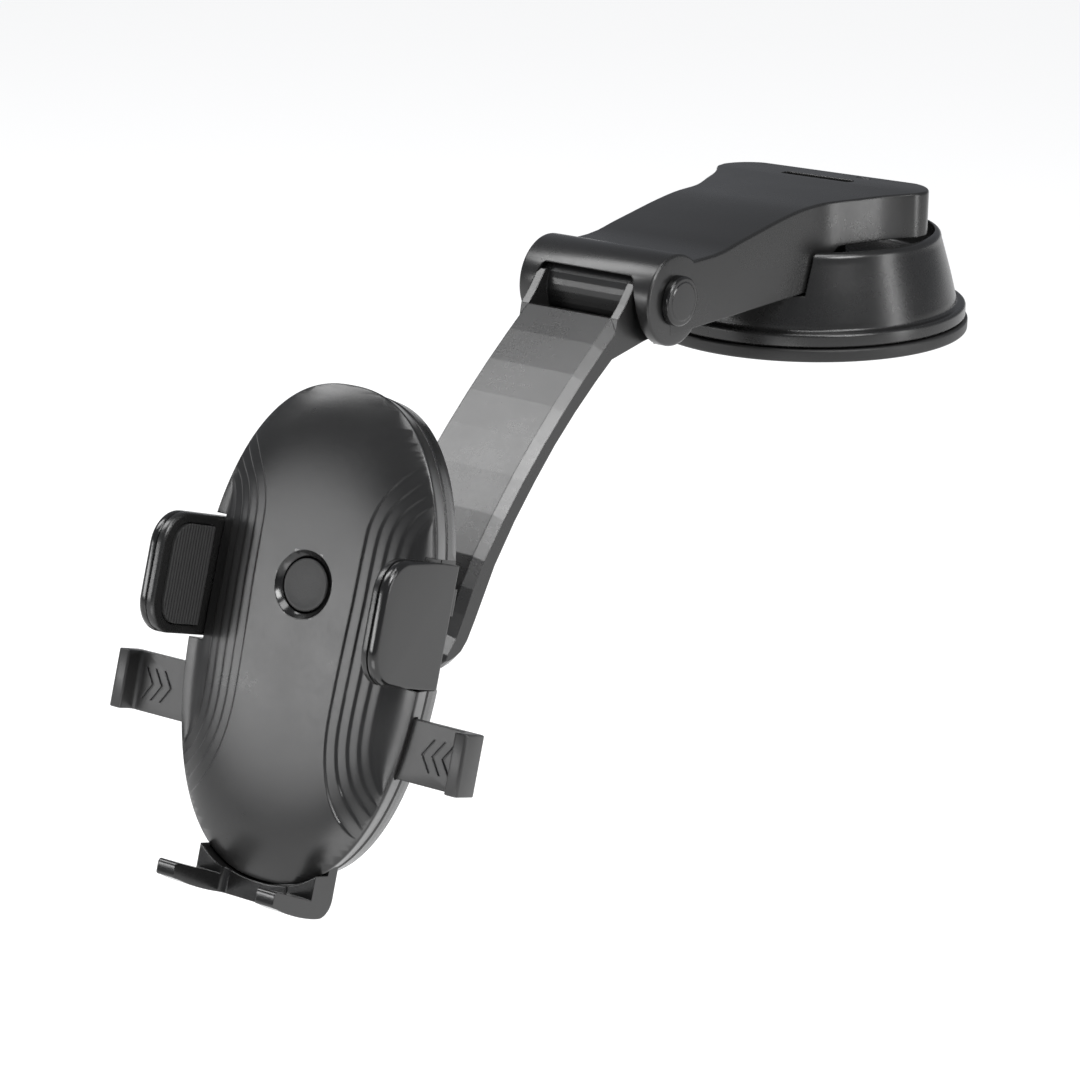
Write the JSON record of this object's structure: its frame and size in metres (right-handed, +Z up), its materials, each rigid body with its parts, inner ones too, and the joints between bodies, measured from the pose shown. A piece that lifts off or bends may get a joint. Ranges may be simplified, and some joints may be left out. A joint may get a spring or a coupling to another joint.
{
  "type": "suction car phone mount",
  "caption": "Suction dashboard mount with a lever-locked base, folding arm and a spring cradle with jaws and foot on a ball joint.",
  "frame": {"origin": "centre of the suction pad's bottom face, which lies on the dashboard", "axes": "+Z up from the suction face, the arm and cradle reach out along -Y, X is across the arm"},
  "size_m": [0.0873, 0.2513, 0.117],
  "materials": {
    "black_plastic": "satin black moulded plastic",
    "satin_cover": "satin black, slightly lighter",
    "inner_black": "matt black moulded plastic",
    "soft_tpu": "soft black elastomer",
    "gel": "tacky dark gel",
    "pad_rubber": "matt black rubber",
    "steel": "plain zinc-plated steel"
  },
  "bodies": {
    "base": {"base_housing": "black_plastic", "suction_cup": "soft_tpu", "gel_pad": "gel", "lever_pin": "steel", "stem_spring": "steel"},
    "stem": {"pull_stem": "steel"},
    "upper_arm": {"upper_arm_shell": "black_plastic", "upper_arm_bottom_cover": "inner_black", "upper_cover_screw_1": "steel", "upper_cover_screw_2": "steel", "lever_crank": "inner_black", "crank_screw_1": "steel", "crank_screw_2": "steel", "crank_pin": "steel", "fold_bolt": "black_plastic", "fold_nut": "black_plastic"},
    "lower_arm": {"lower_arm": "black_plastic", "lower_arm_back_cover": "inner_black", "lower_cover_screw_1": "steel", "lower_cover_screw_2": "steel", "fold_washer_left": "steel", "fold_washer_right": "steel", "ball_stud": "inner_black"},
    "ball_tilt": {"ball_liner": "soft_tpu"},
    "ball_pan": {"ring_nut": "black_plastic"},
    "cradle": {"front_cover": "satin_cover", "rear_cover": "black_plastic", "cradle_screw_1": "steel", "cradle_screw_2": "steel", "cradle_screw_3": "steel", "cradle_screw_4": "steel", "pinion_clip": "steel", "jaw_spring_left": "steel", "jaw_spring_right": "steel", "button_spring": "steel"},
    "jaw_right": {"slider_right": "black_plastic", "jaw_right_shell": "black_plastic", "jaw_right_liner": "black_plastic", "jaw_right_pad": "pad_rubber", "jaw_right_screw": "steel"},
    "jaw_left": {"slider_left": "black_plastic", "jaw_left_shell": "black_plastic", "jaw_left_liner": "black_plastic", "jaw_left_pad": "pad_rubber", "jaw_left_screw": "steel"},
    "pinion": {"pinion": "inner_black"},
    "button": {"trigger_button": "inner_black", "button_clip": "steel"},
    "foot": {"foot": "black_plastic"}
  },
  "joints": [
    {"name": "lever_lift", "type": "hinge", "parent": "base", "child": "upper_arm", "pos_m": [0, -0.006, 0.0285], "axis": [-1, 0, 0], "range_deg": [0, 25]},
    {"name": "stem_slide", "type": "slide", "parent": "base", "child": "stem", "axis": [0, 0, -1], "range_m": [0, 0.00254], "deforming": ["suction_cup", "stem_spring"]},
    {"name": "arm_fold", "type": "hinge", "parent": "upper_arm", "child": "lower_arm", "pos_m": [0, -0.0783, 0.0226], "axis": [1, 0, 0], "range_deg": [0, 60]},
    {"name": "ball_tilt", "type": "hinge", "parent": "lower_arm", "child": "ball_tilt", "pos_m": [0, -0.1595, -0.036], "axis": [0.9946, 0.1035, -0.0052], "range_deg": [-12, 12]},
    {"name": "ball_pan", "type": "hinge", "parent": "ball_tilt", "child": "ball_pan", "pos_m": [0, -0.1595, -0.036], "axis": [-0.0295, 0.3309, 0.9432], "range_deg": [-12, 12]},
    {"name": "ball_roll", "type": "hinge", "parent": "ball_pan", "child": "cradle", "pos_m": [0, -0.1595, -0.036], "axis": [0.0993, -0.938, 0.3322], "continuous": true},
    {"name": "jaw_open", "type": "slide", "parent": "cradle", "child": "jaw_right", "axis": [0.9946, 0.1035, -0.0052], "range_m": [0, 0.011], "stiffness_N_per_m": 120, "springref_m": -0.012, "deforming": ["jaw_spring_right"]},
    {"name": "jaw_follow", "type": "slide", "parent": "cradle", "child": "jaw_left", "axis": [-0.9946, -0.1035, 0.0052], "range_m": [0, 0.011], "deforming": ["jaw_spring_left"]},
    {"name": "pinion_spin", "type": "hinge", "parent": "cradle", "child": "pinion", "pos_m": [0.00121, -0.1707, -0.02673], "axis": [-0.0993, 0.938, -0.3322], "range_deg": [0, 196.95]},
    {"name": "button_press", "type": "slide", "parent": "cradle", "child": "button", "axis": [-0.0993, 0.938, -0.3322], "range_m": [0, 0.0016], "stiffness_N_per_m": 400, "springref_m": -0.002, "deforming": ["button_spring"]},
    {"name": "foot_slide", "type": "slide", "parent": "cradle", "child": "foot", "axis": [0.0295, -0.3309, -0.9432], "range_m": [0, 0.015]}
  ],
  "couplings": [
    {"joint": "stem_slide", "follows": "lever_lift", "m_per_rad": 0.005811},
    {"joint": "jaw_follow", "follows": "jaw_open", "ratio": 1},
    {"joint": "pinion_spin", "follows": "jaw_open", "rad_per_m": 312.5}
  ]
}
